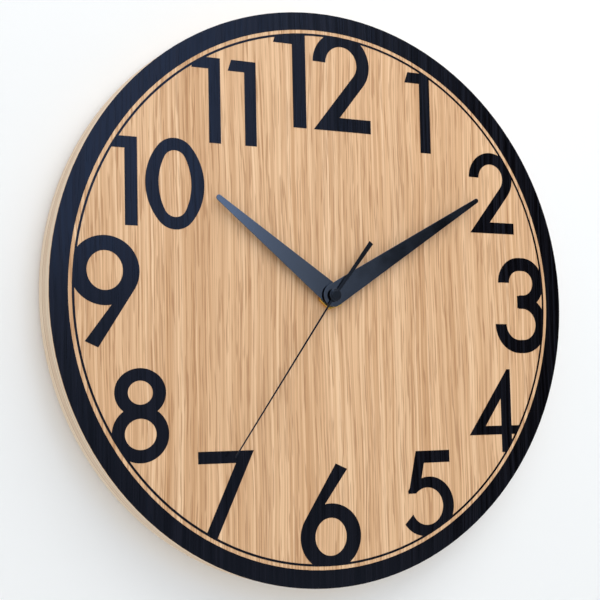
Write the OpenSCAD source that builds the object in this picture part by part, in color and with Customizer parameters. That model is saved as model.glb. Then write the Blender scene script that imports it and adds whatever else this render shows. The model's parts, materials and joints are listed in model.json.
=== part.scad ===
// Round wooden wall clock with a printed dial, three hands and a battery quartz movement.
// Millimetres. X runs to the right of the face, Y into the wall, Z up.
// The origin is the middle of the clock's bounding box, on the axis of the hands.
// Nodes are the clock's separate pieces. Set node to one name to draw that piece alone.

/* [Board] */
// Diameter of the round board
board_diameter = 300; // [200:5:500]
// Thickness of the board with its face veneer
board_thickness = 16; // [15:0.5:19]
// Thickness of the oak face veneer
veneer_thickness = 0.6; // [0.3:0.1:1]
// Wood left between the movement pocket and the face
pocket_web = 2.6; // [1.5:0.1:4]
// Thickness of the felt pads between board and wall
pad_thickness = 3; // [2:0.5:5]
// Diameter of the felt pads
pad_diameter = 22; // [10:1:30]

/* [Dial print] */
// Width of the black border at the rim
border_width = 9.3; // [4:0.1:20]
// Gap of bare wood between the border and the thin circle
circle_gap = 1.9; // [0.5:0.1:5]
// Width of the thin printed circle
circle_width = 1.15; // [0.5:0.05:3]
// Thickness of the ink
ink = 0.1; // [0.05:0.01:0.2]
// Height of the straight small digits
digit_height = 43.8; // [30:0.1:60]
// Width of a small digit's stroke
stroke = 6.5; // [4:0.1:10]
// Size of the digits at 12, 3, 6 and 9 against the others
big_digit = 1.19; // [1:0.01:1.5]

/* [Hands] */
// Length of the hour hand from the axis
hour_length = 81; // [50:1:100]
// Length of the minute hand from the axis
minute_length = 107.5; // [70:0.5:125]
// Length of the second hand from the axis
second_length = 100; // [60:1:125]
// Length of the second hand's tail
tail_length = 36; // [15:1:50]
// Clockwise angle of the hour hand from 12
hour_angle = 306.9; // [0:0.1:360]
// Clockwise angle of the minute hand from 12
minute_angle = 59.2; // [0:0.1:360]
// Clockwise angle of the second hand from 12
second_angle = 215.5; // [0:0.1:360]
// Sheet thickness of the hour and minute hands
hand_sheet = 0.4; // [0.2:0.1:1]

/* [Movement] */
// Side of the square movement case
case_side = 56; // [56:0.5:60]
// Depth of the case from its rear cover to its front
case_depth = 14.4; // [14:0.1:16]
// Wall thickness of the case and its rear cover
case_wall = 1.2; // [0.8:0.1:2]
// Diameter of the brass bush through the board
bush_diameter = 7.8; // [7:0.1:10]
// Width across the flats of the brass nut
nut_flats = 13; // [11:0.5:16]
// Diameter of the AA cell
cell_diameter = 14; // [13.5:0.1:14.5]
// Length of the AA cell with its button
cell_length = 50.4; // [49:0.1:50.5]

/* [Hanger] */
// Radius of the hanger's entry hole for a screw head
entry_radius = 4.5; // [3:0.1:6]
// Width of the hanger's slot for a screw shank
slot_width = 4.6; // [3:0.1:5]
// Thickness of the steel hanger plate
hanger_sheet = 1.5; // [1:0.1:2]

/* [Parts] */
// Name of the one piece to draw, or all

/* [Hidden] */
$fn = 96;

OAK = [0.86, 0.69, 0.51];
PLY = [0.86, 0.76, 0.64];
INK = [0.09, 0.10, 0.15];
STEEL = [0.72, 0.73, 0.75];
FELT = [0.25, 0.25, 0.26];
MOULDED = [0.12, 0.12, 0.13];
NATURAL = [0.90, 0.89, 0.84];
BRASS = [0.83, 0.66, 0.30];
COPPER = [0.76, 0.42, 0.22];
HAND = [0.06, 0.07, 0.10];

// Heights are distances from the wall towards the front.
board_radius = board_diameter / 2;
back_height = pad_thickness;
face_height = back_height + board_thickness;
ply = (board_thickness - veneer_thickness) / 3;
pocket_floor = face_height - pocket_web;
hub_height = 7.2;
wall_y = (face_height + hub_height) / 2;
touch = 0.03;
running = 0.05;

// Dial print
border_inner = board_radius - border_width;
circle_outer = border_inner - circle_gap;
circle_inner = circle_outer - circle_width;

// Stack on the axis of the hands
washer_sheet = 0.4;
washer_radius = 6.3;
nut_height = 2.2;
bush_top = face_height + washer_sheet + nut_height;
bush_radius = bush_diameter / 2;
pipe_radius = 2.6;
cannon_radius = 1.8;
arbor_radius = 0.6;
hand_step = 1.4;
hour_hand_height = bush_top + 0.6;
minute_hand_height = hour_hand_height + hand_step;
second_hand_height = minute_hand_height + hand_step;
second_sheet = 0.25;
hub_radius = 6;
cap_radius = 3.4;
cap_top_radius = 2.4;
cap_flange = 0.5;
tail_turn = 3;

// Movement case
gasket_sheet = 0.5;
case_front = pocket_floor - gasket_sheet;
case_back = case_front - case_depth;
cover_sheet = 1.1;
case_floor = case_front - case_wall;
case_rim = case_back + cover_sheet;
case_inner = case_side / 2 - case_wall;
pocket_play = 0.5;
cell_radius = cell_diameter / 2;
cell_z = -19.2;
cell_height = 7.9;
bay_top = cell_z + cell_radius + 0.6;
bay_wall = 1;

// Gear train: teeth, modules and centre distances
rotor_teeth = 12;
intermediate_teeth = 60;
intermediate_pinion = 10;
seconds_teeth = 60;
seconds_pinion = 8;
third_teeth = 64;
third_pinion = 8;
centre_teeth = 60;
cannon_pinion = 12;
reverse_teeth = 36;
reverse_pinion = 10;
hour_teeth = 40;
third_distance = 10.2;
reverse_distance = 10.8;
rotor_module = 0.2;
intermediate_module = 0.25;
seconds_module = 2 * third_distance / (seconds_pinion + third_teeth);
centre_module = 2 * third_distance / (third_pinion + centre_teeth);
reverse_module = 2 * reverse_distance / (cannon_pinion + reverse_teeth);
hour_module = 2 * reverse_distance / (reverse_pinion + hour_teeth);
intermediate_distance = intermediate_module * (intermediate_pinion + seconds_teeth) / 2;
rotor_distance = rotor_module * (rotor_teeth + intermediate_teeth) / 2;
third_direction = 150;
reverse_direction = 20;
intermediate_direction = 75;
rotor_direction = 110;
third_at = third_distance * [cos(third_direction), sin(third_direction)];
reverse_at = reverse_distance * [cos(reverse_direction), sin(reverse_direction)];
intermediate_at = intermediate_distance * [cos(intermediate_direction), sin(intermediate_direction)];
rotor_at = intermediate_at + rotor_distance * [cos(rotor_direction), sin(rotor_direction)];

// Gear train: heights of the wheels
hour_level = 12.8;
reverse_level = 11.9;
centre_level = 10.9;
third_level = 9.2;
seconds_level = 7.6;
intermediate_level = 6;
magnet_level = 4;
plate_level = 2.8;
plate_sheet = 0.8;
wheel_sheet = 0.7;

// Motor
magnet_radius = 2.5;
stator_level = 4.4;
iron_sheet = 0.8;
stator_half = 16;
core_level = stator_level + iron_sheet;
coil_z = 22.6;
coil_height = core_level + iron_sheet / 2;
coil_half = 11;

// Electronics
board_x = 23.2;
circuit_level = 6.5;
circuit_sheet = 0.8;
contact_sheet = 0.3;
contact_x = 26;

// Hanger
hanger_z = 112;
entry_z = 107;
slot_z = 117.3;
screw_x = 20;
screw_length = 9;
screw_radius = 1.5;
screw_head = 3.1;

// Upright sheet: an outline in X and Z, from a height above the wall, a thickness towards the front.
module sheet(height, thickness) {
    translate([0, wall_y - height, 0])
        rotate([90, 0, 0])
            linear_extrude(thickness)
                children();
}

// Round bar along Y.
module bar(height, length, radius, at = [0, 0]) {
    sheet(height, length)
        translate(at)
            circle(radius);
}

// Washer or tube along Y.
module tube(height, length, outer, inner, at = [0, 0]) {
    sheet(height, length)
        translate(at)
            difference() {
                circle(outer);
                circle(inner);
            }
}

// Rectangle from its left, bottom, right and top.
module box(left, bottom, right, top) {
    translate([left, bottom])
        square([right - left, top - bottom]);
}

// Gear outline with narrow tapered teeth that leave backlash at every mesh.
module gear(teeth, module_size, first_tooth = 0) {
    pitch = teeth * module_size / 2;
    root = pitch - 1.15 * module_size;
    tip = pitch + 0.75 * module_size;
    foot = 36 * module_size / root;
    waist = 31 * module_size / pitch;
    crown = 12 * module_size / tip;
    polygon([for (tooth = [0 : teeth - 1])
        for (corner = [[root, -foot], [pitch, -waist], [tip, -crown],
                [tip, crown], [pitch, waist], [root, foot]])
            corner[0] * [cos(first_tooth + tooth * 360 / teeth + corner[1]),
                sin(first_tooth + tooth * 360 / teeth + corner[1])]]);
}

// Angle of the first tooth that leaves a gap towards a wheel in the given direction.
function gap_towards(direction, teeth) = direction + 180 / teeth;

// Board

module movement_pocket() {
    side = case_side + 2 * pocket_play;
    square(side, center = true);
}

// Window behind the hanger for the head of the wall screw.
module hanger_window() {
    box(-6, entry_z - 6, 6, slot_z + 6);
}

module screw_holes() {
    for (side = [-1, 1])
        translate([side * screw_x, hanger_z])
            circle(screw_radius);
}

module face_veneer() {
    color(OAK)
        tube(face_height - veneer_thickness, veneer_thickness, board_radius, bush_radius + 0.3);
}

module front_ply() {
    color(PLY)
        difference() {
            tube(back_height + 2 * ply, ply, board_radius, bush_radius + 0.3);
            sheet(back_height + 2 * ply - 1, pocket_floor - back_height - 2 * ply + 1)
                movement_pocket();
        }
}

module middle_ply() {
    color(PLY)
        sheet(back_height + ply, ply)
            difference() {
                circle(board_radius);
                movement_pocket();
                screw_holes();
            }
}

module back_ply() {
    color(PLY)
        sheet(back_height, ply)
            difference() {
                circle(board_radius);
                movement_pocket();
                hanger_window();
                screw_holes();
            }
}

// Dial print

module border_print() {
    color(INK)
        tube(face_height, ink, board_radius, border_inner);
}

module circle_print() {
    color(INK)
        tube(face_height, ink, circle_outer, circle_inner);
}

// Part of a round stroke between two directions.
module arc(outer, inner, from, to) {
    step = (to - from) / 4;
    intersection() {
        difference() {
            circle(outer);
            circle(inner);
        }
        polygon(concat([[0, 0]],
            [for (part = [0 : 4]) 2 * outer * [cos(from + part * step), sin(from + part * step)]]));
    }
}

// Oval of four arcs, from its half width, half height and end radius.
module oval(half_width, half_height, end) {
    offset_z = half_height - end;
    side = (pow(half_width, 2) + pow(offset_z, 2) - pow(end, 2)) / (2 * (half_width - end));
    joint_z = offset_z * side / (side - end);
    for (way = [-1, 1])
        translate([0, way * offset_z])
            circle(end);
    intersection() {
        translate([side - half_width, 0])
            circle(side);
        translate([half_width - side, 0])
            circle(side);
        square([2 * half_width, 2 * joint_z], center = true);
    }
}

// One printed piece of a digit, as thick as the ink whatever the digit's size.
module inked() {
    linear_extrude(ink / $size)
        children();
}

module digit_0() {
    inked()
        translate([15.7, 22])
            difference() {
                oval(15.7, 22.9, 11.5);
                oval(8.7, 16.7, 6.2);
            }
}

module digit_1(height = digit_height) {
    flag = 5.8;
    inked()
        polygon([[0, 0], [stroke, 0], [stroke, height], [-7.2, height], [-9.2, height - flag],
            [0, height - flag]]);
}

module digit_2() {
    outer = 14.6;
    inner = outer - stroke;
    bowl = [14.7, 31];
    slope = atan2(bowl[1], bowl[0]) - asin(inner / norm(bowl));
    reach = sqrt(pow(norm(bowl), 2) - pow(inner, 2));
    foot = 6.2;
    out = bowl + outer * [sin(slope), -cos(slope)];
    inked()
        translate(bowl)
            arc(outer, inner, slope - 90, 179);
    inked()
        polygon([[0, 0], reach * [cos(slope), sin(slope)], out,
            [out[0] - (out[1] - foot) / tan(slope), foot], [29.6, foot], [29.6, 0]]);
}

// Bowl of a three: two half rounds, the right one moved out, open to the lower or upper left.
module bowl_3(at, outer, inner, width, from, to) {
    difference() {
        union() {
            inked()
                translate(at + [width, 0])
                    arc(outer, 0.1, -90, 90);
            inked()
                translate(at)
                    arc(outer, 0.1, from, to);
            inked()
                translate(at)
                    box(0, -outer, width, outer);
        }
        for (x = [0, width])
            inked()
                translate(at + [x, 0])
                    circle(inner);
        inked()
            translate(at)
                box(0, -inner, width, inner);
    }
}

module digit_3() {
    bowl_3([14.1, 33.2], 12, 5.8, 2.1, 80, 180);
    bowl_3([13.6, 13.6], 13.6, 7.4, 2.1, -180, -80);
    inked()
        box(12.8, 21.3, 14.6, 27.1);
}

module digit_4() {
    inked()
        difference() {
            polygon([[20.8, 0], [27.6, 0], [27.6, 9.8], [34, 9.8], [34, 14.6], [27.6, 14.6],
                [27.6, 45.8], [25.4, 45.8], [-0.6, 9.8], [20.8, 9.8]]);
            polygon([[20.8, 14.6], [20.8, 29.6], [10.2, 14.6]]);
        }
}

module digit_5() {
    outer = 15.6;
    middle = 15.6;
    heel = 13;
    difference() {
        union() {
            inked()
                translate([middle, outer])
                    circle(outer);
            inked()
                translate([heel, outer])
                    arc(outer, 0.1, 180, 270);
            inked()
                box(heel, 0, middle, outer);
        }
        inked()
            translate([14.4, outer])
                circle(9.9);
        inked()
            polygon([[-6, 0.5], [5.1, 11.4], [14.4, outer], [7.4, 22.6], [2.8, 22.6], [0, 31],
                [-6, 31]]);
    }
    inked()
        polygon([[7.8, 45], [29.2, 45], [29.2, 38.6], [12.8, 38.6], [10.6, 28.5], [8.4, 25],
            [2.8, 22.4]]);
}

module digit_6() {
    half_height = 14.2;
    top = [17.6, 45.4];
    bowl = [14.6, half_height];
    // Distance from the bowl's centre to the tail's outer edge, which runs into the bowl's side.
    offset = 14.65;
    line = top - bowl;
    lean = atan2(line[1], line[0]) - asin(offset / norm(line));
    reach = sqrt(pow(norm(line), 2) - pow(offset, 2));
    inked()
        translate(bowl)
            difference() {
                rotate(90)
                    oval(half_height, 14.8, 13.9);
                oval(7.7, 8.1, 7.4);
            }
    inked()
        polygon([top - reach * [cos(lean), sin(lean)], top, [23.2, 42.9], [11.2, 27.3], [6.5, 21]]);
}

module digit_7() {
    lean = 0.48;
    bar_foot = digit_height - 6;
    inked()
        polygon([[0, digit_height], [30.2, digit_height], [30.2 - lean * digit_height, 0],
            [23.2 - lean * digit_height, 0], [23.2 - lean * 6, bar_foot], [0, bar_foot]]);
}

module digit_8() {
    upper = [15, 33.8];
    lower = [15, 13.8];
    difference() {
        union() {
            lying_oval(upper, 13.2, 11.8, 11);
            lying_oval(lower, 14.6, 13.8, 13.2);
        }
        lying_oval(upper, 6.4, 5.8, 5.4);
        lying_oval(lower, 8.1, 7.5, 7.1);
    }
}

module lying_oval(at, half_width, half_height, end) {
    inked()
        translate(at)
            rotate(90)
                oval(half_height, half_width, end);
}

module digit_9() {
    rotate(180)
        translate([-14.6, -14.2])
            digit_6();
}

// One numeral: its digits cut off at the thin circle.
module numeral() {
    color(INK)
        translate([0, wall_y - face_height, 0])
            rotate([90, 0, 0])
                intersection() {
                    cylinder(ink, circle_inner, circle_inner);
                    union()
                        children();
                }
}

module place(x, z, size = 1) {
    $size = size;
    translate([x, z, 0])
        scale(size)
            children();
}

module numeral_1() {
    numeral()
        place(58.8, 79.8, 1.01) digit_1();
}

module numeral_2() {
    numeral()
        place(90, 37.4) digit_2();
}

module numeral_3() {
    numeral()
        place(105.2, -29.6, big_digit) digit_3();
}

module numeral_4() {
    numeral()
        place(86, -84.4) digit_4();
}

module numeral_5() {
    numeral()
        place(42.4, -127) digit_5();
}

module numeral_6() {
    numeral()
        place(-19.6, -140.8, big_digit) digit_6();
}

module numeral_7() {
    numeral()
        place(-75.4, -122.2) digit_7();
}

module numeral_8() {
    numeral()
        place(-120, -82.8) digit_8();
}

module numeral_9() {
    numeral()
        place(-122.4, 9.8, big_digit) digit_9();
}

module numeral_10() {
    numeral() {
        place(-112, 32) digit_1();
        place(-101.4, 31.9) digit_0();
    }
}

module numeral_11() {
    numeral()
        for (x = [-67, -47])
            place(x, 75.8) digit_1();
}

module numeral_12() {
    numeral() {
        place(-19.2, 87.6, big_digit) digit_1(digit_height - 0.9);
        place(-7.2, 87.6, 1.17) digit_2();
    }
}

// Hanger and pads

module hanger_plate() {
    color(STEEL)
        difference() {
            sheet(back_height - hanger_sheet, hanger_sheet)
                difference() {
                    translate([0, hanger_z])
                        square([50, 24], center = true);
                    translate([0, entry_z])
                        circle(entry_radius);
                    translate([0, slot_z])
                        circle(slot_width / 2);
                    box(-slot_width / 2, entry_z, slot_width / 2, slot_z);
                }
            for (side = [-1, 1])
                countersunk(side, touch);
        }
}

// Head and shank of a wood screw, opened by a play where it is a hole.
module countersunk(side, play = 0) {
    translate([side * screw_x, wall_y - back_height + hanger_sheet, hanger_z])
        rotate([90, 0, 0])
            rotate_extrude()
                polygon([[0, 0], [screw_head + play, 0], [screw_radius + play, hanger_sheet],
                    [screw_radius + play, screw_length - 2], [0, screw_length]]);
}

module plate_screws() {
    color(STEEL)
        for (side = [-1, 1])
            difference() {
                countersunk(side);
                sheet(back_height - hanger_sheet - 1, 1.7)
                    translate([side * screw_x, hanger_z])
                        for (turn = [0, 90])
                            rotate(turn)
                                square([3.4, 0.6], center = true);
            }
}

module wall_pads() {
    color(FELT)
        for (turn = [45 : 90 : 315])
            bar(0, pad_thickness, pad_diameter / 2, 0.84 * board_radius * [cos(turn), sin(turn)]);
}

// Movement, fixed parts

module movement_case() {
    columns = [[-18.5, -7.8], [18, -7.8], [-18.5, 16.5], [18, 16.5]];
    pivots = [third_at, reverse_at];
    color(MOULDED)
        difference() {
            union() {
                sheet(case_rim, case_depth - cover_sheet)
                    difference() {
                        square(case_side, center = true);
                        square(2 * case_inner, center = true);
                    }
                sheet(case_floor, case_wall)
                    square(case_side - case_wall, center = true);
                sheet(case_rim, case_floor - case_rim)
                    box(-case_inner + bay_wall, bay_top, case_inner - bay_wall, bay_top + bay_wall);
                for (at = columns)
                    bar(plate_level + plate_sheet, case_floor - plate_level - plate_sheet, 1.2, at);
                for (at = columns)
                    bar(plate_level, plate_sheet, 0.6, at);
                for (z = [-7.5, 24])
                    bar(circuit_level + circuit_sheet, case_floor - circuit_level - circuit_sheet,
                        1.3, [board_x, z]);
            }
            for (at = pivots)
                bar(case_floor - 1, 1.6, 0.5 + running, at);
            bar(case_floor - 1, case_wall + 2, bush_radius + touch);
            cell_space(cell_radius + 0.25, cell_length + 2);
        }
}

// Lying cylinder that clears the cell in the battery bay.
module cell_space(radius, length) {
    translate([-length / 2, wall_y - cell_height, cell_z])
        rotate([0, 90, 0])
            cylinder(length, radius, radius);
}

module centre_bush() {
    color(BRASS) {
        difference() {
            union() {
                bar(case_floor - 0.5, 0.5, 5.5);
                bar(case_floor, bush_top - case_floor - 0.4, bush_radius);
                bar(bush_top - 0.4, 0.4, bush_radius - 0.3);
            }
            bar(case_floor - 1, bush_top, pipe_radius + running);
        }
    }
}

module movement_cover() {
    color(MOULDED)
        sheet(case_back, cover_sheet)
            difference() {
                box(-case_side / 2, bay_top, case_side / 2, case_side / 2);
                translate(reverse_at)
                    circle(6.5);
            }
}

module train_plate() {
    color(NATURAL) {
        sheet(plate_level, plate_sheet)
            difference() {
                box(-20.5, -9.8, 20, 18.3);
                for (at = [[-18.5, -7.8], [18, -7.8], [-18.5, 16.5], [18, 16.5]])
                    translate(at)
                        circle(0.6 + touch);
                translate(reverse_at)
                    circle(0.7 + running);
                translate(third_at)
                    circle(0.5 + running);
                circle(0.6 + running);
            }
        bar(plate_level + plate_sheet, 5.3, 0.5, intermediate_at);
        bar(plate_level + plate_sheet, 3.8, 0.35, rotor_at);
    }
}

module gasket() {
    color(FELT)
        tube(case_front, gasket_sheet, 12, bush_radius + 0.3);
}

module dial_washer() {
    color(BRASS)
        tube(face_height, washer_sheet, washer_radius, bush_radius + 0.1);
}

module hex_nut() {
    color(BRASS)
        sheet(face_height + washer_sheet, nut_height)
            difference() {
                rotate(229)
                    rotate(30)
                        circle(nut_flats / sqrt(3), $fn = 6);
                circle(bush_radius + touch);
            }
}

module coil_bobbin() {
    color(NATURAL)
        for (slice = [[-coil_half, 0.8, 3.9, 2.7], [-coil_half + 0.8, 2 * coil_half - 1.6, 2.2, 1.1],
                [coil_half - 0.8, 0.8, 3.9, 2.7]])
            coil_slice(slice[0], slice[1], slice[2], slice[3], 1.5 + touch, 0.4 + touch);
}

// Rectangular tube along X round the coil's middle, from its outer and inner half sizes in Z and Y.
module coil_slice(from, length, half_z, half_y, hole_z, hole_y) {
    translate([from, wall_y - coil_height, coil_z])
        rotate([0, 90, 0])
            linear_extrude(length)
                difference() {
                    square([2 * half_z, 2 * half_y], center = true);
                    square([2 * hole_z, 2 * hole_y], center = true);
                }
}

module coil_winding() {
    color(COPPER)
        coil_slice(-coil_half + 0.8, 2 * coil_half - 1.6, 3.5, 2.4, 2.2, 1.1);
}

module coil_core() {
    color(STEEL)
        sheet(core_level, iron_sheet)
            box(-stator_half, coil_z - 1.5, stator_half, coil_z + 1.5);
}

module stator() {
    color(STEEL)
        sheet(stator_level, iron_sheet)
            difference() {
                union() {
                    box(-stator_half, 12.6, stator_half, 18.4);
                    box(-stator_half, 18.4, -stator_half + 3.4, coil_z + 1.5);
                    box(stator_half - 3.4, 18.4, stator_half, coil_z + 1.5);
                }
                translate(rotor_at)
                    circle(magnet_radius + 0.5);
            }
}

module circuit_board() {
    color([0.35, 0.24, 0.10])
        sheet(circuit_level, circuit_sheet)
            box(20.6, -9.8, 25.6, 26);
}

module clock_chip() {
    color(MOULDED)
        bar(circuit_level - 1, 1, 2, [board_x, 3]);
}

module crystal_can() {
    color(STEEL)
        translate([board_x, wall_y - circuit_level + 1, 11])
            cylinder(6, 1, 1);
}

// Contact blade at one end of the cell bay, with the tongue that presses on the cell.
module contact(side) {
    translate([side * contact_x, wall_y, 0])
        mirror([side > 0 ? 0 : 1, 0, 0]) {
            translate([0, -12.5, -25])
                cube([contact_sheet, 10, 12]);
            translate([0, -circuit_level - circuit_sheet, -13])
                cube([contact_sheet, circuit_sheet, 8]);
        }
}

module positive_contact() {
    color(STEEL) {
        contact(1);
        translate([25.3, wall_y - cell_height, cell_z])
            rotate([0, 90, 0])
                cylinder(contact_x - 25.3, 2, 3);
    }
}

module negative_contact() {
    color(STEEL) {
        contact(-1);
        translate([-contact_x, wall_y - cell_height, cell_z])
            rotate([0, 90, 0])
                cylinder(contact_x - 25.3, 4, 1.5);
    }
}

// AA cell, lying along X with its button to the right

module cell_ring(from, length, outer, inner) {
    translate([from, wall_y - cell_height, cell_z])
        rotate([0, 90, 0])
            linear_extrude(length)
                difference() {
                    circle(outer);
                    circle(inner);
                }
}

module cell_can() {
    color(STEEL)
        translate([-cell_length / 2, wall_y - cell_height, cell_z])
            rotate([0, 90, 0])
                cylinder(cell_length - 1.4, cell_radius - 0.2, cell_radius - 0.2);
}

module cell_jacket() {
    color(MOULDED)
        cell_ring(-cell_length / 2 + 0.4, cell_length - 1.8, cell_radius, cell_radius - 0.2);
}

module cell_cap() {
    color(STEEL)
        translate([cell_length / 2 - 1.4, wall_y - cell_height, cell_z])
            rotate([0, 90, 0])
                cylinder(1.4, 2.7, 2.6);
}

// Wheels and hands

module rotor_magnet() {
    color(STEEL)
        tube(magnet_level, 1.4, magnet_radius, 0.35 + running, rotor_at);
}

module rotor_pinion() {
    color(NATURAL)
        difference() {
            union() {
                bar(magnet_level + 1.4, 0.3, 1.2, rotor_at);
                sheet(magnet_level + 1.7, 1.4)
                    translate(rotor_at)
                        gear(rotor_teeth, rotor_module, rotor_direction + 180);
            }
            bar(magnet_level, 4, 0.35 + running, rotor_at);
        }
}

module intermediate_wheel() {
    color(NATURAL)
        difference() {
            union() {
                sheet(intermediate_level, wheel_sheet)
                    translate(intermediate_at)
                        gear(intermediate_teeth, rotor_module,
                            gap_towards(rotor_direction, intermediate_teeth));
                sheet(intermediate_level + wheel_sheet, 1.9)
                    translate(intermediate_at)
                        gear(intermediate_pinion, intermediate_module,
                            gap_towards(intermediate_direction + 180, intermediate_pinion));
            }
            bar(intermediate_level - 1, 5, 0.5 + running, intermediate_at);
        }
}

module seconds_wheel() {
    color(NATURAL)
        difference() {
            union() {
                sheet(seconds_level, wheel_sheet)
                    gear(seconds_teeth, intermediate_module, intermediate_direction);
                sheet(seconds_level + wheel_sheet, 2)
                    gear(seconds_pinion, seconds_module, gap_towards(third_direction, seconds_pinion));
            }
            bar(seconds_level - 1, 5, arbor_radius);
        }
}

module seconds_arbor() {
    color(STEEL)
        bar(plate_level, second_hand_height + 0.6 - plate_level, arbor_radius);
}

module third_wheel() {
    color(NATURAL) {
        sheet(third_level, wheel_sheet)
            translate(third_at)
                gear(third_teeth, seconds_module, third_direction + 180);
        sheet(third_level + wheel_sheet, 1.9)
            translate(third_at)
                gear(third_pinion, centre_module, gap_towards(third_direction + 180, third_pinion));
        bar(plate_level, third_level - plate_level, 0.5, third_at);
        bar(third_level + wheel_sheet + 1.9, 3.4, 0.5, third_at);
    }
}

module centre_wheel() {
    color(NATURAL)
        difference() {
            union() {
                sheet(centre_level, wheel_sheet)
                    gear(centre_teeth, centre_module, third_direction);
                sheet(centre_level + wheel_sheet, 0.9)
                    gear(cannon_pinion, reverse_module,
                        gap_towards(reverse_direction, cannon_pinion));
                bar(centre_level + wheel_sheet + 0.9,
                    minute_hand_height + 0.5 - centre_level - wheel_sheet - 0.9, cannon_radius);
            }
            bar(centre_level - 1, minute_hand_height, arbor_radius + running);
        }
}

module reverse_wheel() {
    color(NATURAL)
        difference() {
            union() {
                sheet(reverse_level, 0.6)
                    translate(reverse_at)
                        gear(reverse_teeth, reverse_module, reverse_direction + 180);
                sheet(reverse_level + 0.6, 1.3)
                    translate(reverse_at)
                        gear(reverse_pinion, hour_module,
                            gap_towards(reverse_direction + 180, reverse_pinion));
                bar(reverse_level + 1.9, 1.4, 0.5, reverse_at);
            }
            bar(reverse_level - 1, 1.6, 0.7, reverse_at);
        }
}

module setting_knob() {
    color(MOULDED) {
        sheet(0.4, 1.9)
            translate(reverse_at)
                gear(36, 0.31);
        bar(2.3, reverse_level + 0.6 - 2.3, 0.7, reverse_at);
    }
}

module hour_wheel() {
    color(NATURAL)
        difference() {
            union() {
                sheet(hour_level, 1)
                    gear(hour_teeth, hour_module, reverse_direction);
                bar(hour_level + 1, hour_hand_height + 0.5 - hour_level - 1, pipe_radius);
            }
            bar(hour_level - 1, hour_hand_height, cannon_radius + running);
        }
}

// Blade that tapers from a round hub to a round tip, pointing up.
module blade(length, hub, tip) {
    span = length - tip;
    slope = asin((hub - tip) / span);
    circle(hub);
    translate([0, span])
        circle(tip);
    polygon([for (end = [[hub, 0, 1], [tip, span, 1], [tip, span, -1], [hub, 0, -1]])
        [end[2] * end[0] * cos(slope), end[1] + end[0] * sin(slope)]]);
}

module hour_hand() {
    color(HAND) {
        sheet(hour_hand_height, hand_sheet)
            rotate(-hour_angle)
                difference() {
                    blade(hour_length, hub_radius, 1.5);
                    circle(pipe_radius);
                }
        tube(hour_hand_height - 0.2, 0.2, 4, pipe_radius);
    }
}

module minute_hand() {
    color(HAND) {
        sheet(minute_hand_height, hand_sheet)
            rotate(-minute_angle)
                difference() {
                    blade(minute_length, hub_radius, 1.3);
                    circle(cannon_radius);
                }
        tube(minute_hand_height - 0.4, 0.4, 3.4, cannon_radius);
    }
}

// Straight strip from half a width at the axis to another at its end, pointing up.
module taper(length, start, end) {
    polygon([[-start, 0], [-end, length], [end, length], [start, 0]]);
}

module second_hand() {
    color(HAND)
        difference() {
            union() {
                bar(second_hand_height, second_sheet, 2.4);
                sheet(second_hand_height, second_sheet)
                    rotate(-second_angle)
                        taper(second_length, 0.5, 0.35);
                sheet(second_hand_height, second_sheet)
                    rotate(180 - second_angle - tail_turn)
                        taper(tail_length, 0.7, 1.35);
            }
            bar(second_hand_height - 1, 2, arbor_radius);
        }
}

module second_hand_cap() {
    cap_top = face_height + hub_height;
    under = second_hand_height - 0.6;
    over = second_hand_height + second_sheet;
    step = over + cap_flange;
    color(HAND)
        translate([0, wall_y, 0])
            rotate([90, 0, 0])
                rotate_extrude()
                    polygon([[arbor_radius, under], [2, under], [2, second_hand_height],
                        [arbor_radius, second_hand_height]]);
    color(HAND)
        translate([0, wall_y, 0])
            rotate([90, 0, 0])
                rotate_extrude()
                    polygon([[arbor_radius, over], [cap_radius, over], [cap_radius, step - 0.2],
                        [cap_radius - 0.2, step], [cap_top_radius, step],
                        [cap_top_radius, cap_top - 0.15], [cap_top_radius - 0.15, cap_top],
                        [0, cap_top], [0, second_hand_height + 0.6],
                        [arbor_radius, second_hand_height + 0.6]]);
}

face_veneer();
front_ply();
middle_ply();
back_ply();
border_print();
circle_print();
numeral_1();
numeral_2();
numeral_3();
numeral_4();
numeral_5();
numeral_6();
numeral_7();
numeral_8();
numeral_9();
numeral_10();
numeral_11();
numeral_12();
hanger_plate();
plate_screws();
wall_pads();
movement_case();
centre_bush();
movement_cover();
train_plate();
gasket();
dial_washer();
hex_nut();
coil_bobbin();
coil_winding();
coil_core();
stator();
circuit_board();
clock_chip();
crystal_can();
positive_contact();
negative_contact();
cell_can();
cell_jacket();
cell_cap();
rotor_magnet();
rotor_pinion();
intermediate_wheel();
seconds_wheel();
seconds_arbor();
second_hand();
second_hand_cap();
third_wheel();
centre_wheel();
minute_hand();
reverse_wheel();
setting_knob();
hour_wheel();
hour_hand();
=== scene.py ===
"""Round wooden wall clock with a quartz movement: finishes, finer pieces, studio and camera."""

import json
import math

import bmesh
import bpy
from mathutils import Matrix, Vector


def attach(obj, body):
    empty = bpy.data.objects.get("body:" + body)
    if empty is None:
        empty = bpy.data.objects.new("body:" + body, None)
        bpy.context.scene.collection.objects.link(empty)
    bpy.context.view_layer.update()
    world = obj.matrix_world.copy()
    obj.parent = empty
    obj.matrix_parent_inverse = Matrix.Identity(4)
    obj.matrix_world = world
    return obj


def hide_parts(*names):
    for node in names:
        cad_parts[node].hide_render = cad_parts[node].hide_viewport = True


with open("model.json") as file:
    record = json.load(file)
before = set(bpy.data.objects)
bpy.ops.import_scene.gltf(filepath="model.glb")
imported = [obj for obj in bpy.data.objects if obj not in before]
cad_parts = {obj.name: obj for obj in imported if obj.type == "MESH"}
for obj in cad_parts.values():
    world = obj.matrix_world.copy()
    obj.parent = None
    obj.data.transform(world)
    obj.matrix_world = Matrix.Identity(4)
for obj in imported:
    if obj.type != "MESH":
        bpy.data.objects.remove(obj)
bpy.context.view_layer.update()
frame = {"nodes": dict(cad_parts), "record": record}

MM = 0.001
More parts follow.
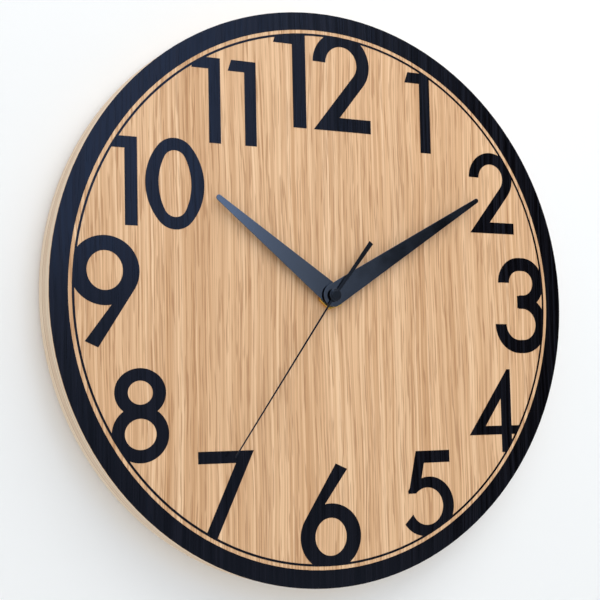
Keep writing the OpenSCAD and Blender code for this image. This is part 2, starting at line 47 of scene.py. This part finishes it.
# Where the wall and the board's back lie along Y, and the thickness of one ply sheet.
WALL_Y = 13.1 * MM
BACK_Y = 10.1 * MM
PLY = 5.13 * MM
nodes = frame["nodes"]


# Finishes


def paint(red, green, blue):
    """Linear colour from the three values of a colour card, 0 to 255."""
    return [
        (v / 255 / 12.92) if v <= 10 else ((v / 255 + 0.055) / 1.055) ** 2.4
        for v in (red, green, blue)
    ]


class Graph:
    """A node tree with short ways to add nodes and join them."""

    def __init__(self, tree):
        self.tree = tree

    def add(self, kind, **settings):
        node = self.tree.nodes.new(kind)
        for name, value in settings.items():
            setattr(node, name, value)
        return node

    def feed(self, socket, value):
        """Connects an output, or sets a constant, on a node's input."""
        if isinstance(value, bpy.types.NodeSocket):
            self.tree.links.new(value, socket)
        else:
            socket.default_value = value

    def span(self, value, start, end, low=0.0, high=1.0):
        """Value stretched from start..end to low..high and held there."""
        node = self.add("ShaderNodeMapRange")
        self.feed(node.inputs["Value"], value)
        for socket, number in (
            ("From Min", start),
            ("From Max", end),
            ("To Min", low),
            ("To Max", high),
        ):
            node.inputs[socket].default_value = number
        return node.outputs["Result"]

    def sum(self, operation, first, second=0.0):
        node = self.add("ShaderNodeMath", operation=operation)
        self.feed(node.inputs[0], first)
        self.feed(node.inputs[1], second)
        return node.outputs["Value"]

    def split(self, vector):
        """The X, Y and Z of a vector, under those names."""
        node = self.add("ShaderNodeSeparateXYZ")
        self.feed(node.inputs[0], vector)
        return node.outputs


class Finish(Graph):
    """A procedural finish: one Principled shader and the pattern nodes that feed it.

    Patterns read Object coordinates, and cell sizes are in metres along X, Y and Z.
    """

    def __init__(self, name, colour, roughness, metal=0.0, **constants):
        self.material = bpy.data.materials.new(name)
        self.material.use_nodes = True
        super().__init__(self.material.node_tree)
        self.shader = self.tree.nodes["Principled BSDF"]
        self.set("Base Color", (*colour, 1))
        self.set("Roughness", roughness)
        self.set("Metallic", metal)
        for socket, value in constants.items():
            self.set(socket.replace("_", " "), value)
        self.spot = self.add("ShaderNodeTexCoord").outputs["Object"]

    def set(self, socket, value):
        self.shader.inputs[socket].default_value = value

    def cells(self, size, shift=(0, 0, 0), spot=None):
        """Coordinates counted in pattern cells."""
        node = self.add("ShaderNodeMapping")
        self.feed(node.inputs["Vector"], spot or self.spot)
        node.inputs["Location"].default_value = shift
        node.inputs["Scale"].default_value = [1 / s for s in size]
        return node.outputs["Vector"]

    def noise(self, size, detail=2.0, rough=0.5, shift=(0, 0, 0), spot=None):
        """Cloudy pattern from 0 to 1, with cells of the given size."""
        node = self.add("ShaderNodeTexNoise")
        self.feed(node.inputs["Vector"], self.cells(size, shift, spot))
        node.inputs["Scale"].default_value = 1
        node.inputs["Detail"].default_value = detail
        node.inputs["Roughness"].default_value = rough
        return node.outputs["Fac"]

    def mix(self, share, first, second):
        """Colour the given share of the way from the first to the second."""
        node = self.add("ShaderNodeMix", data_type="RGBA")
        self.feed(node.inputs["Factor"], share)
        for socket, value in ((node.inputs[6], first), (node.inputs[7], second)):
            self.feed(socket, value if isinstance(value, bpy.types.NodeSocket) else (*value, 1))
        return node.outputs[2]

    def tones(self, value, *stops):
        """Colour ramp from (position, colour) stops."""
        node = self.add("ShaderNodeValToRGB")
        self.feed(node.inputs["Fac"], value)
        ramp = node.color_ramp
        while len(ramp.elements) < len(stops):
            ramp.elements.new(0.5)
        for element, (position, colour) in zip(ramp.elements, stops):
            element.position = position
            element.color = (*colour, 1)
        return node.outputs["Color"]

    def colour(self, value):
        self.feed(self.shader.inputs["Base Color"], value)

    def roughness(self, value):
        self.feed(self.shader.inputs["Roughness"], value)

    def relief(self, height, depth, strength=1.0):
        """Bump of the given depth in metres."""
        node = self.add("ShaderNodeBump")
        node.inputs["Strength"].default_value = strength
        node.inputs["Distance"].default_value = depth
        self.feed(node.inputs["Height"], height)
        self.feed(self.shader.inputs["Normal"], node.outputs["Normal"])


def oak_grain(finish):
    """Upright oak grain that slightly sways, the same for the veneer and the ink on it.

    Gives the broad bands, the year lines, the fibres and the open pores.
    """
    sway = finish.add("ShaderNodeVectorMath", operation="MULTIPLY_ADD")
    drift = finish.add("ShaderNodeTexNoise")
    finish.feed(drift.inputs["Vector"], finish.cells((0.05, 0.05, 0.09)))
    drift.inputs["Scale"].default_value = 1
    drift.inputs["Detail"].default_value = 1
    finish.feed(sway.inputs[0], drift.outputs["Color"])
    sway.inputs[1].default_value = (0.006, 0, 0)
    finish.feed(sway.inputs[2], finish.spot)
    spot = sway.outputs["Vector"]
    bands = finish.noise((0.019, 0.05, 1.1), 2, 0.5, (3.1, 0, 0), spot)
    lines = finish.noise((0.0021, 0.02, 0.42), 3, 0.72, (0, 0, 0), spot)
    fibres = finish.noise((0.0008, 0.004, 0.1), 2, 0.6, (0, 7, 0), spot)
    pores = finish.noise((0.0008, 0.004, 0.024), 1, 0.5, (0, 0, 5), spot)
    return bands, lines, fibres, finish.span(pores, 0.56, 0.63)


def oak():
    """Clear-varnished oak veneer."""
    finish = Finish("oak_veneer", paint(226, 184, 142), 0.55, IOR=1.45)
    bands, lines, fibres, pores = oak_grain(finish)
    wood = finish.tones(
        lines,
        (0.37, paint(204, 159, 115)),
        (0.45, paint(221, 178, 135)),
        (0.53, paint(230, 189, 147)),
        (0.64, paint(243, 206, 166)),
    )
    wood = finish.mix(finish.span(bands, 0.35, 0.65, 0.0, 0.5), wood, paint(236, 198, 157))
    wood = finish.mix(finish.span(fibres, 0.38, 0.58, 0.6, 0.0), wood, paint(186, 139, 96))
    wood = finish.mix(finish.sum("MULTIPLY", pores, 0.42), wood, paint(146, 97, 60))
    finish.colour(wood)
    finish.roughness(finish.span(pores, 0, 1, 0.5, 0.8))
    finish.relief(finish.sum("SUBTRACT", fibres, pores), 0.05 * MM, 0.5)
    return finish.material


def ink():
    """Satin black print that lets the grain show in its sheen, with a painted blue tint in that
    sheen.
    """
    finish = Finish("black_ink", paint(10, 9, 11), 0.22, IOR=1.37)
    # Painted reflection: the bluish specular tint stands in for blue sky light mirrored in the ink's
    # sheen.
    finish.set("Specular Tint", (0.45, 0.6, 1.0, 1))
    _, lines, _, pores = oak_grain(finish)
    black = finish.tones(lines, (0.35, paint(4, 3, 4)), (0.62, paint(14, 12, 16)))
    black = finish.mix(finish.sum("MULTIPLY", pores, 0.8), black, paint(3, 3, 4))
    finish.colour(black)
    finish.roughness(finish.span(lines, 0.4, 0.6, 0.14, 0.3))
    finish.relief(finish.sum("SUBTRACT", lines, pores), 0.05 * MM, 0.35)
    return finish.material


def ply(name, along, pale, deep):
    """Birch ply sheet with its fibres along X or Z and dark glue lines between the sheets."""
    finish = Finish(name, pale, 0.62, IOR=1.4)
    long, short = 50 * MM, 0.6 * MM
    size = (long, short, short) if along == "x" else (short, short, long)
    fibre = finish.noise(size, 3, 0.6)
    cloud = finish.noise([30 * MM] * 3)
    ripple = finish.noise((0.4, 1.1 * MM, 0.4), 1, 0.5, (0, 2.3, 0))
    wood = finish.mix(finish.span(fibre, 0.3, 0.7), deep, pale)
    wood = finish.mix(finish.span(cloud, 0.3, 0.7, 0.0, 0.4), wood, paint(238, 224, 205))
    wood = finish.mix(finish.span(ripple, 0.42, 0.62, 0.0, 0.5), wood, paint(186, 160, 135))
    depth = finish.split(finish.spot)["Y"]
    within = finish.sum("MODULO", finish.sum("ADD", depth, 10 * PLY - BACK_Y), PLY)
    off_middle = finish.sum("ABSOLUTE", finish.sum("SUBTRACT", within, PLY / 2))
    glue = finish.span(off_middle, 2.35 * MM, 2.55 * MM)
    wood = finish.mix(finish.sum("MULTIPLY", glue, 0.6), wood, paint(132, 98, 66))
    finish.colour(wood)
    finish.relief(fibre, 0.06 * MM, 0.5)
    return finish.material


def moulded(name, colour, roughness=0.42, grain=0.35, **constants):
    """Injection moulded plastic: fine spark texture, faint flow clouds, rubbed patches."""
    finish = Finish(name, colour, roughness, IOR=1.48, **constants)
    texture = finish.noise([grain * MM] * 3, 3, 0.6)
    cloud = finish.noise([9 * MM] * 3, 2)
    rubbed = [min(1, 1.35 * v + 0.004) for v in colour]
    finish.colour(finish.mix(finish.span(cloud, 0.35, 0.7), colour, rubbed))
    finish.roughness(finish.span(cloud, 0.3, 0.7, roughness - 0.08, roughness + 0.12))
    finish.relief(texture, 0.02 * MM, 0.6)
    return finish.material


def metal(name, colour, roughness, brushed=(0.3, 0.3, 0.3), tarnish=None):
    """Bare or plated metal with fine scratches along the longest of the brushed sizes."""
    finish = Finish(name, colour, roughness, 1.0)
    scratch = finish.noise([s * MM for s in brushed], 3, 0.7)
    cloud = finish.noise([6 * MM] * 3, 3)
    dull = tarnish or [0.72 * v for v in colour]
    finish.colour(finish.mix(finish.span(cloud, 0.4, 0.75), colour, dull))
    finish.roughness(finish.span(scratch, 0.3, 0.7, roughness - 0.07, roughness + 0.13))
    finish.relief(scratch, 0.01 * MM, 0.5)
    return finish.material


def lacquered_hand(name, gloss):
    """Gloss lacquer on stamped sheet, with a slight orange peel and a painted blue tint in its
    reflections.
    """
    finish = Finish(name, paint(14, 15, 20), 0.16, IOR=gloss)
    # Painted reflection: the bluish specular tint stands in for the blue-grey surroundings mirrored
    # in the lacquer.
    finish.set("Specular Tint", (0.52, 0.68, 1.0, 1))
    peel = finish.noise([0.9 * MM] * 3, 2)
    dust = finish.noise([14 * MM] * 3, 3)
    finish.colour(finish.mix(finish.span(dust, 0.4, 0.7), paint(9, 10, 13), paint(15, 16, 21)))
    finish.roughness(finish.span(dust, 0.3, 0.7, 0.11, 0.19))
    finish.relief(peel, 0.008 * MM, 0.35)
    return finish.material


def felt():
    """Pressed grey wool felt."""
    finish = Finish("grey_felt", paint(88, 88, 90), 0.95, Sheen_Weight=0.4)
    hairs = finish.noise([0.25 * MM, 0.6 * MM, 0.25 * MM], 4, 0.7)
    mottle = finish.noise([1.6 * MM] * 3, 2)
    wool = finish.mix(finish.span(hairs, 0.3, 0.7), paint(58, 58, 61), paint(122, 121, 120))
    finish.colour(finish.mix(finish.span(mottle, 0.35, 0.7, 0, 0.5), wool, paint(74, 75, 80)))
    finish.relief(hairs, 0.3 * MM, 0.9)
    return finish.material


def rubber():
    """Black rubber with a pale bloom."""
    finish = Finish("gasket_rubber", paint(30, 30, 31), 0.75)
    bloom = finish.noise([2.5 * MM] * 3, 3)
    finish.colour(finish.mix(finish.span(bloom, 0.4, 0.7), paint(26, 26, 27), paint(52, 51, 50)))
    finish.relief(finish.noise([0.3 * MM] * 3, 2), 0.02 * MM, 0.5)
    return finish.material


def enamelled_wire():
    """Copper wire with clear red-brown enamel."""
    finish = Finish("enamelled_copper", paint(184, 98, 56), 0.28, 1.0, Coat_Weight=0.8)
    finish.set("Coat Roughness", 0.15)
    turns = finish.noise([0.12 * MM, 3 * MM, 3 * MM], 2)
    finish.colour(finish.mix(finish.span(turns, 0.35, 0.65), paint(150, 72, 38), paint(206, 122, 72)))
    finish.roughness(finish.span(turns, 0.3, 0.7, 0.22, 0.4))
    return finish.material


def circuit_laminate():
    """Paper laminate with copper tracks under green resist."""
    finish = Finish("circuit_laminate", paint(52, 92, 58), 0.38, IOR=1.5)
    across = finish.split(finish.cells([1 * MM] * 3, (0.2, 0, 0.4)))
    flat = finish.add("ShaderNodeCombineXYZ")
    finish.feed(flat.inputs["X"], across["Z"])
    finish.feed(flat.inputs["Y"], across["X"])
    track = finish.add("ShaderNodeTexBrick")
    finish.feed(track.inputs["Vector"], flat.outputs[0])
    track.inputs["Scale"].default_value = 0.42
    track.inputs["Mortar Size"].default_value = 0.12
    track.inputs["Mortar Smooth"].default_value = 0.1
    weave = finish.span(finish.noise([0.25 * MM] * 3), 0.3, 0.7)
    board = finish.mix(weave, paint(40, 84, 50), paint(58, 104, 66))
    copper = finish.mix(weave, paint(92, 140, 84), paint(104, 152, 92))
    finish.colour(finish.mix(track.outputs["Fac"], copper, board))
    finish.relief(track.outputs["Fac"], 0.03 * MM, 0.4)
    return finish.material


def cell_label():
    """Plain printed label of the cell: graphite with one copper-coloured end band."""
    finish = Finish("cell_label", paint(40, 42, 46), 0.32, IOR=1.5, Coat_Weight=0.5)
    band = finish.span(finish.split(finish.spot)["X"], 11.9 * MM, 12.1 * MM)
    wear = finish.noise([1.1 * MM] * 3, 4, 0.7)
    label = finish.mix(band, paint(36, 38, 43), paint(178, 112, 62))
    finish.colour(finish.mix(finish.span(wear, 0.62, 0.74, 0, 0.5), label, paint(120, 118, 114)))
    finish.roughness(finish.span(wear, 0.3, 0.7, 0.26, 0.42))
    finish.relief(wear, 0.01 * MM, 0.4)
    return finish.material


finishes = {
    "oak": oak(),
    "ink": ink(),
    "face_ply": ply("face_ply", "z", paint(246, 228, 203), paint(226, 200, 170)),
    "core_ply": ply("core_ply", "x", paint(238, 214, 186), paint(208, 178, 146)),
    "hand": lacquered_hand("hand_lacquer", 2.25),
    "needle": lacquered_hand("needle_lacquer", 1.55),
    "brass": metal("brass", paint(236, 198, 104), 0.2, (0.6, 0.2, 0.6), paint(190, 144, 70)),
    "steel": metal("zinc_plated_steel", paint(196, 198, 200), 0.34, (4, 0.2, 0.2)),
    "nickel": metal("nickel_plate", paint(206, 204, 198), 0.2, (0.2, 0.2, 3)),
    "iron": metal("core_iron", paint(128, 126, 126), 0.42, (3, 0.2, 0.3), paint(96, 86, 80)),
    "magnet": metal("ferrite_magnet", paint(72, 70, 72), 0.5, (0.4, 0.4, 0.4)),
    "black_plastic": moulded("black_moulding", paint(30, 30, 32)),
    "natural_plastic": moulded(
        "natural_acetal", paint(226, 222, 210), 0.36, 0.5, Subsurface_Weight=0.15,
        Subsurface_Scale=0.001,
    ),
    "felt": felt(),
    "rubber": rubber(),
    "copper": enamelled_wire(),
    "laminate": circuit_laminate(),
    "label": cell_label(),
}

numerals = [f"numeral_{hour}" for hour in range(1, 13)]
worn_by = {
    "oak": ["face_veneer"],
    "ink": ["border_print", "circle_print", *numerals],
    "face_ply": ["front_ply", "back_ply"],
    "core_ply": ["middle_ply"],
    "hand": ["hour_hand", "minute_hand"],
    "needle": ["second_hand", "second_hand_cap"],
    "brass": ["centre_bush", "dial_washer", "hex_nut"],
    "steel": ["hanger_plate", "plate_screws", "seconds_arbor", "cell_can"],
    "nickel": ["positive_contact", "negative_contact", "cell_cap", "crystal_can"],
    "iron": ["stator", "coil_core"],
    "magnet": ["rotor_magnet"],
    "black_plastic": ["movement_case", "movement_cover", "clock_chip", "setting_knob"],
    "natural_plastic": [
        "train_plate", "coil_bobbin", "rotor_pinion", "intermediate_wheel", "seconds_wheel",
        "third_wheel", "centre_wheel", "reverse_wheel", "hour_wheel",
    ],
    "felt": ["wall_pads"],
    "rubber": ["gasket"],
    "copper": ["coil_winding"],
    "laminate": ["circuit_board"],
    "label": ["cell_jacket"],
}
finish_of = {node: finish for finish, worn in worn_by.items() for node in worn}
for name, node in nodes.items():
    node.data.materials.clear()
    node.data.materials.append(finishes[finish_of[name]])


# Finer pieces


bodies = frame["record"]["behaviour"]["bodies"]
body_of = {node: body for body, members in bodies.items() for node in members}


def placed(name, shape, material):
    """Turns a bmesh into an object of the scene."""
    mesh = bpy.data.meshes.new(name)
    shape.to_mesh(mesh)
    shape.free()
    mesh.materials.append(material)
    made = bpy.data.objects.new(name, mesh)
    bpy.context.scene.collection.objects.link(made)
    return made


def piece(name, shape, stands_for):
    """Turns a bmesh into a piece that rides where the CAD node that it stands for rides."""
    made = placed(name, shape, finishes[finish_of[stands_for]])
    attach(made, body_of[stands_for])
    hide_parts(stands_for)
    return made


FLAT = math.radians(0.5)
SHARP = math.radians(35)
CREASE = math.radians(50)


def eased(node, width):
    """Replaces a CAD node by a copy with its edges rounded, as stamping or moulding leaves them."""
    shape = bmesh.new()
    shape.from_mesh(nodes[node].data)
    bmesh.ops.remove_doubles(shape, verts=shape.verts, dist=1e-6)
    bmesh.ops.dissolve_limit(shape, angle_limit=FLAT, verts=shape.verts, edges=shape.edges)
    sharp = [e for e in shape.edges if len(e.link_faces) == 2 and e.calc_face_angle(0) > SHARP]
    bmesh.ops.bevel(
        shape, geom=sharp, offset=width * MM, segments=2, profile=0.5,
        affect="EDGES", material=-1, clamp_overlap=True,
    )
    for face in shape.faces:
        face.smooth = True
    made = piece("fine_" + node, shape, node)
    made.data.set_sharp_from_angle(angle=CREASE)
    flat = made.modifiers.new("flat_faces", "WEIGHTED_NORMAL")
    flat.weight = 100
    flat.keep_sharp = True


# Width of the rounding on each node's edges, in millimetres.
EASED_EDGES = {
    "hour_hand": 0.1,
    "minute_hand": 0.1,
    "second_hand": 0.05,
    "second_hand_cap": 0.12,
    "dial_washer": 0.12,
    "hex_nut": 0.25,
    "hanger_plate": 0.25,
    "plate_screws": 0.12,
    "wall_pads": 0.6,
    "setting_knob": 0.1,
    "cell_cap": 0.35,
    "cell_can": 0.5,
    "clock_chip": 0.4,
    "crystal_can": 0.3,
    "coil_bobbin": 0.15,
    "movement_case": 0.15,
    "movement_cover": 0.2,
}
for node, width in EASED_EDGES.items():
    eased(node, width)


def wound_coil():
    """The motor's winding: one shallow ridge for each visible turn, round a flat oval barrel."""
    half_length, half_depth, half_height = 10.2 * MM, 2.4 * MM, 3.5 * MM
    centre = Vector((0, 7.5, 22.6)) * MM
    turns, valley, barrel = 48, 0.95, 0.66
    pitch = 2 * half_length / turns
    shape = bmesh.new()
    bmesh.ops.create_circle(
        shape, segments=40, radius=1,
        matrix=Matrix.Translation((-half_length, 0, 0)) @ Matrix.Rotation(math.radians(90), 4, "Y"),
    )
    bmesh.ops.scale(shape, vec=(1, valley, valley), verts=shape.verts)
    ring = shape.edges[:]

    def step(along, size):
        grown = bmesh.ops.extrude_edge_only(shape, edges=ring)["geom"]
        verts = [g for g in grown if isinstance(g, bmesh.types.BMVert)]
        bmesh.ops.scale(shape, vec=(1, size, size), verts=verts)
        bmesh.ops.translate(shape, vec=(along, 0, 0), verts=verts)
        return [g for g in grown if isinstance(g, bmesh.types.BMEdge)]

    for _ in range(turns):
        ring = step(pitch / 2, 1 / valley)
        ring = step(pitch / 2, valley)
    ring = step(0, barrel)
    ring = step(-2 * half_length, 1)
    step(0, 1 / barrel)
    bmesh.ops.remove_doubles(shape, verts=shape.verts, dist=1e-6)
    bmesh.ops.scale(shape, vec=(1, half_depth, half_height), verts=shape.verts)
    bmesh.ops.translate(shape, vec=centre, verts=shape.verts)
    bmesh.ops.recalc_face_normals(shape, faces=shape.faces)
    for face in shape.faces:
        face.smooth = True
    made = piece("fine_coil_winding", shape, "coil_winding")
    made.data.set_sharp_from_angle(angle=math.radians(60))


wound_coil()


# Studio


def plane(name, half, matrix, material):
    """A square stage piece of the given half width."""
    shape = bmesh.new()
    bmesh.ops.create_grid(shape, x_segments=1, y_segments=1, size=half, matrix=matrix)
    made = placed(name, shape, material)
    return made


def wall_paint():
    """Matt white wall paint, open from behind so that the clock's back can be seen."""
    finish = Finish("wall_paint", paint(244, 246, 247), 0.85)
    roller = finish.noise([2.2 * MM] * 3, 3)
    finish.relief(roller, 0.05 * MM, 0.25)
    side = finish.add("ShaderNodeNewGeometry")
    clear = finish.add("ShaderNodeBsdfTransparent")
    choose = finish.add("ShaderNodeMixShader")
    finish.feed(choose.inputs[0], side.outputs["Backfacing"])
    finish.feed(choose.inputs[1], finish.shader.outputs[0])
    finish.feed(choose.inputs[2], clear.outputs[0])
    finish.feed(finish.tree.nodes["Material Output"].inputs["Surface"], choose.outputs[0])
    return finish.material


WALL_GAP = 0.05 * MM
FLOOR_Z = -1.2
upright = Matrix.Rotation(math.radians(90), 4, "X")
wall = plane(
    "wall", 5, Matrix.Translation((0, WALL_Y + WALL_GAP, 0)) @ upright, wall_paint()
)
wall.visible_diffuse = False
wall.visible_glossy = False
wall.visible_transmission = False
wall.visible_shadow = False
floor_finish = Finish("floor_paint", paint(226, 226, 224), 0.7)
floor_finish.relief(floor_finish.noise([3 * MM] * 3, 3), 0.05 * MM, 0.2)
plane("floor", 8, Matrix.Translation((0, 0, FLOOR_Z)), floor_finish.material)


def softbox(name, place, width, height, watts, colour):
    """A rectangular lamp aimed at the middle of the dial."""
    light = bpy.data.lights.new(name, "AREA")
    light.shape = "RECTANGLE"
    light.size = width
    light.size_y = height
    light.energy = watts
    light.color = colour
    made = bpy.data.objects.new(name, light)
    made.location = place
    made.rotation_mode = "QUATERNION"
    made.rotation_quaternion = (-Vector(place)).to_track_quat("-Z", "Y")
    bpy.context.scene.collection.objects.link(made)


softbox("overhead", (0.36, -0.62, 0.92), 1.3, 0.8, 7.6, (1.0, 0.98, 0.95))
softbox("window", (0.2, -1.75, 0.62), 1.1, 0.85, 4.2, (0.55, 0.74, 1.0))
softbox("back_left", (1.4, 1.6, 0.8), 1.2, 1.2, 10, (1.0, 0.99, 0.97))

# Soft surround, brighter above than below, with a black flag right of the dial's axis. The flag
# has an upright edge beside the axis and fades out at its other sides.
FLAG = (0.7189, -0.6942, -0.0349)
FLAG_INSIDE = math.cos(math.radians(17.5))
FLAG_OUTSIDE = math.cos(math.radians(28))
BACKDROP = 0.86
world = bpy.data.worlds.new("studio")
world.use_nodes = True
bpy.context.scene.world = world
sky = Graph(world.node_tree)
background = sky.tree.nodes["Background"]
towards = sky.add("ShaderNodeTexCoord").outputs["Generated"]
flag = sky.add("ShaderNodeVectorMath", operation="DOT_PRODUCT")
sky.feed(flag.inputs[0], towards)
sky.feed(flag.inputs[1], FLAG)
fading = sky.span(flag.outputs["Value"], FLAG_OUTSIDE, FLAG_INSIDE, 1, 0.01)
direction = sky.split(towards)
edge = sky.span(direction["X"], 0.46, 0.505, 1, 0.01)
height = sky.span(direction["Z"], -0.15, 0.1, 0.22, 0.9)
glow = sky.sum("MULTIPLY", sky.sum("MAXIMUM", fading, edge), height)
seen = sky.add("ShaderNodeLightPath").outputs["Is Camera Ray"]
strength = sky.add("ShaderNodeMix")
sky.feed(strength.inputs["Factor"], seen)
sky.feed(strength.inputs[2], glow)
sky.feed(strength.inputs[3], BACKDROP)
sky.feed(background.inputs["Strength"], strength.outputs[0])
sky.feed(background.inputs["Color"], (1.0, 0.99, 0.98, 1))

scene = bpy.context.scene
scene.view_settings.view_transform = "Standard"


# Camera


lens = bpy.data.cameras.new("camera")
lens.lens = 78.47
lens.sensor_width = 36
camera = bpy.data.objects.new("camera", lens)
right = Vector((0.8877, -0.46, -0.0204)).normalized()
ahead = Vector((0.46, 0.884, 0.0835)).normalized()
above = right.cross(ahead).normalized()
right = ahead.cross(above)
camera.matrix_world = Matrix.Translation((-0.3271, -0.6010, -0.0587)) @ Matrix(
    [[right[i], above[i], -ahead[i]] for i in range(3)]
).to_4x4()
scene.collection.objects.link(camera)
scene.camera = camera
